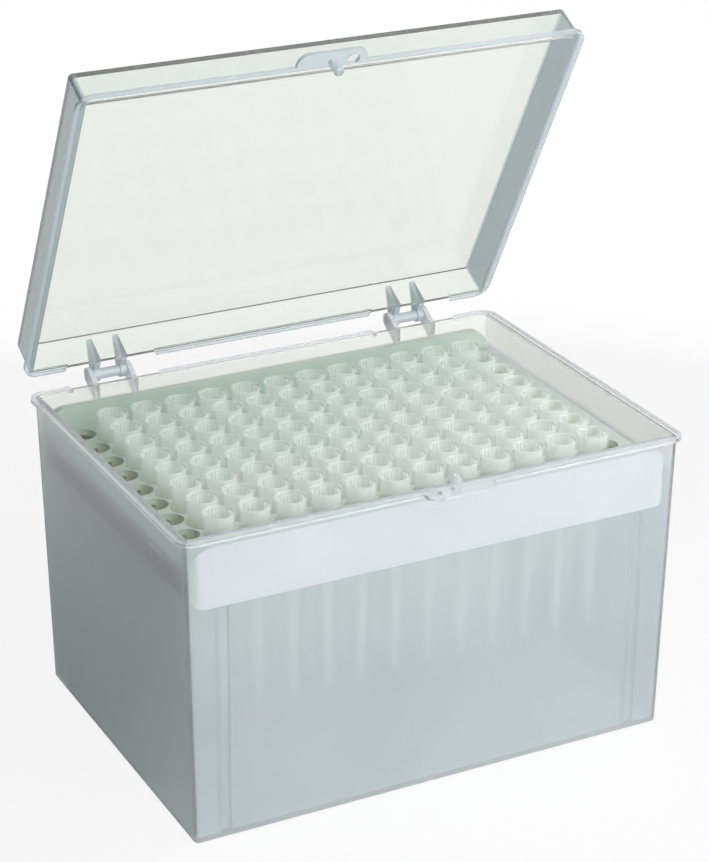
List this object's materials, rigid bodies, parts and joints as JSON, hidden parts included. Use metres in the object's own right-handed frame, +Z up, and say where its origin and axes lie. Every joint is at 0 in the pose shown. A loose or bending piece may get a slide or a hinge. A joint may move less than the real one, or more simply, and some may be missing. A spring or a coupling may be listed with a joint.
{
  "type": "box of pipette tips",
  "caption": "Translucent hinged lab box whose perforated rack holds a full grid of pipette tips, modelled with its lid standing open.",
  "frame": {"origin": "middle of the flat underside of the box", "axes": "+Z up, +X along the long side, -Y towards the catch, hinges at +Y"},
  "size_m": [0.1318, 0.1085, 0.1692],
  "materials": {
    "box": "frosted translucent polypropylene",
    "lid": "clear translucent polypropylene",
    "rack": "pale moulded polypropylene",
    "tips": "clear polypropylene"
  },
  "bodies": {
    "box": {"box": "box", "rack": "rack", "tips_01_front": "tips", "tips_01_back": "tips", "tips_02_front": "tips", "tips_02_back": "tips", "tips_03_front": "tips", "tips_03_back": "tips", "tips_04_front": "tips", "tips_04_back": "tips", "tips_05_front": "tips", "tips_05_back": "tips", "tips_06_front": "tips", "tips_06_back": "tips", "tips_07_front": "tips", "tips_07_back": "tips", "tips_08_front": "tips", "tips_08_back": "tips", "tips_09_front": "tips", "tips_09_back": "tips", "tips_10_front": "tips", "tips_10_back": "tips", "tips_11_front": "tips", "tips_11_back": "tips", "tips_12_front": "tips", "tips_12_back": "tips"},
    "lid": {"lid": "lid"}
  },
  "joints": [
    {"name": "lid_hinge", "type": "hinge", "parent": "box", "child": "lid", "pos_m": [0, 0.0512, 0.07865], "axis": [-1, 0, 0], "range_deg": [-61.4, 48.6]}
  ]
}
